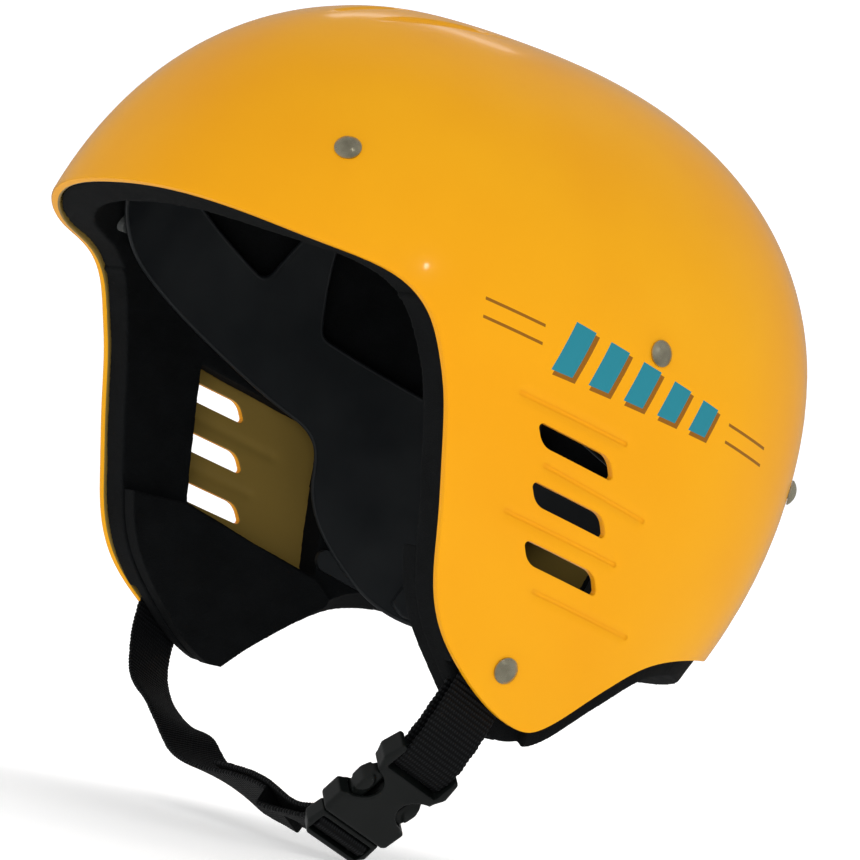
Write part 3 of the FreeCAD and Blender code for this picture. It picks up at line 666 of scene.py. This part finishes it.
def webbing(name, node, route, twist, rib, seed):
    """Flat ribbed webbing along a route, turned about its own length where twist says."""
    line = smooth_line([on_strap(place) for place in route], SECTION_STEP)
    run = np.gradient(line, axis=0)
    run /= np.linalg.norm(run, axis=1, keepdims=True)
    forward = np.array([0.0, -math.cos(STRAP_LEAN), math.sin(STRAP_LEAN)])
    through = np.cross(run, forward)
    through /= np.linalg.norm(through, axis=1, keepdims=True)
    distance = np.r_[0.0, np.cumsum(np.linalg.norm(np.diff(line, axis=0), axis=1))]
    turn = twist(line, distance)[:, None]
    across = forward * np.cos(turn) + through * np.sin(turn)
    through = through * np.cos(turn) - forward * np.sin(turn)
    ring = profile()
    ribs = np.abs(np.sin(np.pi * distance / RIB_PITCH)) ** 0.7
    random = np.random.default_rng(seed)
    marks = np.arange(0.0, distance[-1] + 3.0, 1.5)
    ragged = np.interp(distance, marks, random.normal(0.0, 0.12, len(marks)))
    vertices = []
    for index in range(len(line)):
        swell = 1.0 + rib * (ribs[index] - 0.6) * 2.0 / WEBBING_THICKNESS
        wide = 1.0 + (ragged[index] + 0.25 * (ribs[index] - 0.6)) / WEBBING_WIDTH * 2.0
        place = (line[index] + np.outer(ring[:, 0] * wide, across[index])
                 + np.outer(ring[:, 1] * swell, through[index]))
        vertices.append(place)
    count = len(ring)
    faces = []
    for index in range(len(line) - 1):
        for corner in range(count):
            following = (corner + 1) % count
            base = index * count
            beyond = base + count
            faces.append((base + corner, base + following, beyond + following, beyond + corner))
    faces.append(tuple(range(count))[::-1])
    last = (len(line) - 1) * count
    faces.append(tuple(last + corner for corner in range(count)))
    mesh = bpy.data.meshes.new(name)
    mesh.from_pydata((np.vstack(vertices) * MM).tolist(), [], faces)
    weave = mesh.uv_layers.new(name="weave")
    around = ring[:, 0] + np.where(ring[:, 1] < 0, 0.37, 0.0)
    corners = np.empty(len(mesh.loops), int)
    mesh.loops.foreach_get("vertex_index", corners)
    flat = np.column_stack([around[corners % count], distance[corners // count]]) * MM
    weave.data.foreach_set("uv", flat.ravel())
    mesh.update()
    work = bmesh.new()
    work.from_mesh(mesh)
    bmesh.ops.recalc_face_normals(work, faces=work.faces)
    work.to_mesh(mesh)
    work.free()
    mesh.shade_smooth()
    mesh.set_sharp_from_angle(angle=math.radians(60.0))
    return settle(new_object(name, mesh), node, WEBBING)


def no_twist(line, distance):
    """Left half: it lies flat."""
    return np.zeros(len(line))


def right_twist(line, distance):
    """Right half: it twists on the way under the chin, and its tail turns with it."""
    places, turns = np.array(RIGHT_TURNS, float).T
    spread = np.linspace(-TURN_SPREAD, TURN_SPREAD, 9)
    turn = np.radians(np.mean([np.interp(line[:, 0] + offset, places, turns) for offset in spread], axis=0))
    return np.where(distance < distance[-1] * 0.6, turn, -turn)


# Small moulded pieces


def moulded(node, name, material, voxel, passes):
    """Small moulded piece whose CAD edges are rounded off."""
    piece = copy_of(node, name)
    with_modifiers(piece, ("REMESH", {"mode": "VOXEL", "voxel_size": voxel * MM}),
                   ("SMOOTH", {"factor": 0.5, "iterations": passes}))
    piece.data.shade_smooth()
    return settle(piece, node, material)


FOAM = foam()
SHELL = shell_plastic()
CRADLE = satin_plastic("cradle_plastic", (0.0135, 0.0155, 0.0175), (0.020, 0.0225, 0.0245), 0.42)
TAB = satin_plastic("tab_plastic", (0.075, 0.08, 0.078), (0.11, 0.115, 0.112), 0.5)
WASHER = satin_plastic("washer_plastic", (0.015, 0.015, 0.016), (0.03, 0.03, 0.03), 0.55)
BUCKLE = satin_plastic("buckle_plastic", (0.0035, 0.0046, 0.0043), (0.0065, 0.008, 0.0076), 0.32, 0.02)
RIVET = rivet_metal()
WEBBING = webbing_fabric()


def dress(node, material):
    """Give a CAD node that stays its material."""
    NODES[node].data.materials.clear()
    NODES[node].data.materials.append(material)


def make_shell():
    """The shell is the CAD shape with the mould's own shading."""
    shell = copy_of("outer_shell", "shell")
    smooth_skin(shell, SHELL_DEPTHS, pressed=0.62)
    return settle(shell, "outer_shell", SHELL)


def make_cradle():
    """The cradle is the CAD shape with a rounded bead along the cut edges of its larger openings."""
    cradle = copy_of("head_cradle", "cradle")
    smooth_skin(cradle, CRADLE_DEPTHS)
    lines = []
    for loop in edge_loops(cradle.data, CRADLE_DEPTHS[1]):
        if np.ptp(loop, axis=0).max() < BEAD_SMALLEST:
            continue
        line = resampled(loop, BEAD_STEP)
        lines.append(line + outward(line, CRADLE_DEPTHS[1]) * BEAD_LIFT)
    settle(cradle, "head_cradle", CRADLE)
    rim = bead("cradle_edge", lines, BEAD_RADIUS)
    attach(rim, BODY_OF["head_cradle"])
    rim.data.materials.append(CRADLE)


make_shell()
make_cradle()
for node in ("brow_pad", "crown_pad", "rear_pad", "side_pad_left", "side_pad_right"):
    foam_pad(node, node + "_foam", 6)
for node in ("ear_pad_left", "ear_pad_right"):
    foam_pad(node, node + "_foam", 16)
webbing("strap_left", "chin_strap_left", LEFT_ROUTE, no_twist, 0.32, 3)
webbing("strap_right", "chin_strap_right", RIGHT_ROUTE, right_twist, 0.14, 5)
for node, passes in (("buckle_socket", 22), ("buckle_plug", 8), ("prong_front", 50), ("prong_rear", 50)):
    moulded(node, node + "_moulded", BUCKLE, 0.26, passes)
moulded("nape_strap", "nape_band", CRADLE, 0.45, 4)
for node in NODES:
    if node.endswith("_rivets"):
        dress(node, RIVET)
    elif node.endswith("_washers"):
        dress(node, WASHER)
dress("brow_tabs", TAB)
dress("nape_tabs", CRADLE)


# Stage, light and camera


def floor_paint():
    """White paper, which glows a little so that it stays pale."""
    surface = Surface("floor", (0.88, 0.88, 0.88), 0.9, Specular_IOR_Level=0.1, Emission_Strength=0.44)
    surface.set("Emission Color", (1.0, 1.0, 1.0, 1.0))
    surface.bump((surface.noise(300.0, 2.0), 0.02))
    return surface.material


def make_stage():
    """Pale floor that sweeps up into a backdrop."""
    floor_z = cad_box[0][2] - 0.001
    segments, bend, reach_out, height = 24, 1.2, 2.6, 5.0
    curve = [(-6.0, 0.0), (reach_out - bend, 0.0)]
    for index in range(1, segments + 1):
        angle = math.pi / 2 * index / segments
        curve.append((reach_out - bend + bend * math.sin(angle), bend - bend * math.cos(angle)))
    curve.append((reach_out, height))
    away = Vector((-math.sin(math.radians(CAMERA_AZIMUTH)), math.cos(math.radians(CAMERA_AZIMUTH)), 0.0))
    sideways = Vector((-away.y, away.x, 0.0))
    vertices, faces = [], []
    for distance, rise in curve:
        for side in (-7.0, 7.0):
            vertices.append(away * distance + sideways * side + Vector((0, 0, floor_z + rise)))
    for index in range(len(curve) - 1):
        faces.append((2 * index, 2 * index + 1, 2 * index + 3, 2 * index + 2))
    mesh = bpy.data.meshes.new("floor")
    mesh.from_pydata(vertices, [], faces)
    mesh.shade_smooth()
    mesh.materials.append(floor_paint())
    floor = new_object("floor", mesh)
    floor.visible_glossy = False


def area_light(name, place, target, size, power):
    """Soft white rectangular light that faces a target."""
    light = bpy.data.lights.new(name, "AREA")
    light.shape = "RECTANGLE"
    light.size, light.size_y = size
    light.energy = power
    obj = new_object(name, light)
    obj.location = place
    obj.rotation_euler = (Vector(target) - Vector(place)).to_track_quat("-Z", "Y").to_euler()
    return obj


def make_camera():
    """Camera ahead of the wearer's left side, tilted with the helmet's pose."""
    azimuth, elevation, roll = np.radians([CAMERA_AZIMUTH, CAMERA_ELEVATION, CAMERA_ROLL]).tolist()
    back = Vector((math.cos(elevation) * math.sin(azimuth), -math.cos(elevation) * math.cos(azimuth),
                   math.sin(elevation)))
    level_right = Vector((math.cos(azimuth), math.sin(azimuth), 0.0))
    level_up = back.cross(level_right)
    right = level_right * math.cos(roll) + level_up * math.sin(roll)
    up = level_up * math.cos(roll) - level_right * math.sin(roll)
    camera = bpy.data.cameras.new("camera")
    camera.lens = CAMERA_LENS
    camera.clip_start, camera.clip_end = 0.05, 30.0
    obj = new_object("camera", camera)
    obj.matrix_world = Matrix.Translation(CAMERA_PLACE) @ Matrix((right, up, back)).transposed().to_4x4()
    bpy.context.scene.camera = obj


def make_light():
    """Dim white surroundings, broad soft frontal and overhead light, and one small lamp for sparkle."""
    world = bpy.data.worlds.new("studio")
    world.use_nodes = True
    world.node_tree.nodes["Background"].inputs["Color"].default_value = (1.0, 1.0, 1.0, 1.0)
    world.node_tree.nodes["Background"].inputs["Strength"].default_value = 0.36
    bpy.context.scene.world = world
    soft = [area_light("front", (1.9, -1.5, 0.7), (0, 0, 0.02), (1.8, 1.8), 26.0),
            area_light("overhead", (-0.9, 0.6, 1.9), (0, 0, 0.05), (1.6, 1.6), 12.0),
            area_light("rear_fill", (1.3, 1.7, 0.9), (0, 0, 0.0), (1.0, 1.0), 5.5)]
    for light in soft:
        light.visible_glossy = False
    area_light("sheen", (-1.0, 0.58, 1.05), (0.03, -0.04, 0.13), (0.5, 0.12), 0.35)
    area_light("lamp", (1.10, -0.25, 0.67), (0.09, -0.06, 0.05), (0.03, 0.03), 0.3)


make_stage()
make_light()
make_camera()
bpy.context.scene.view_settings.view_transform = "Standard"
